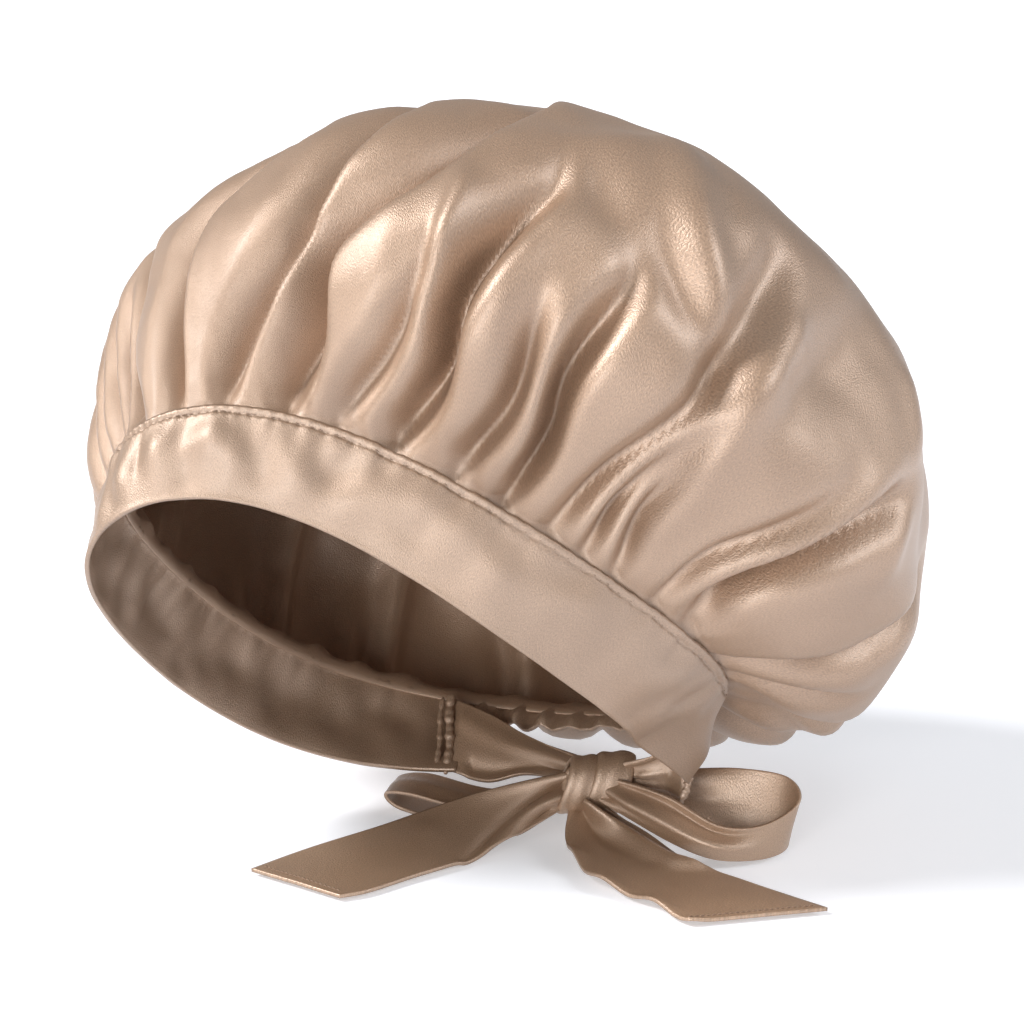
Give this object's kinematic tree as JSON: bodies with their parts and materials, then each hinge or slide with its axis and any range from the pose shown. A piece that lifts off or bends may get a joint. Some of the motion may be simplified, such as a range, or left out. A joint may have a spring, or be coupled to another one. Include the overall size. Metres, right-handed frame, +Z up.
{
  "type": "sleep bonnet",
  "caption": "Puffed satin sleep bonnet with a pleated crown, a flat front band, an elastic nape casing and ties knotted in a bow, shown in its worn form",
  "frame": {"origin": "middle of the head opening, in the plane of the band's lower edge, where the bonnet sits on the head", "axes": "+Z up as the bonnet stands worn, -Y the way that the forehead faces, +X the wearer's left; the head is tipped back 37 degrees and 21 degrees to the wearer's right"},
  "size_m": [0.3075, 0.3244, 0.2905],
  "materials": {
    "crown_satin": "champagne rose satin, soft broad sheen, fine twill grain",
    "band_satin": "the same champagne satin, laid flat and double, with one row of small stitches",
    "tie_satin": "the same champagne satin, folded into flat ties with stitched ends"
  },
  "bodies": {
    "root": {"crown": "crown_satin", "front_band": "band_satin", "nape_casing": "band_satin", "tie_left": "tie_satin", "tie_right": "tie_satin", "bow_knot": "tie_satin", "bow_loop_left": "tie_satin", "bow_loop_right": "tie_satin", "tail_left": "tie_satin", "tail_right": "tie_satin"}
  },
  "joints": []
}
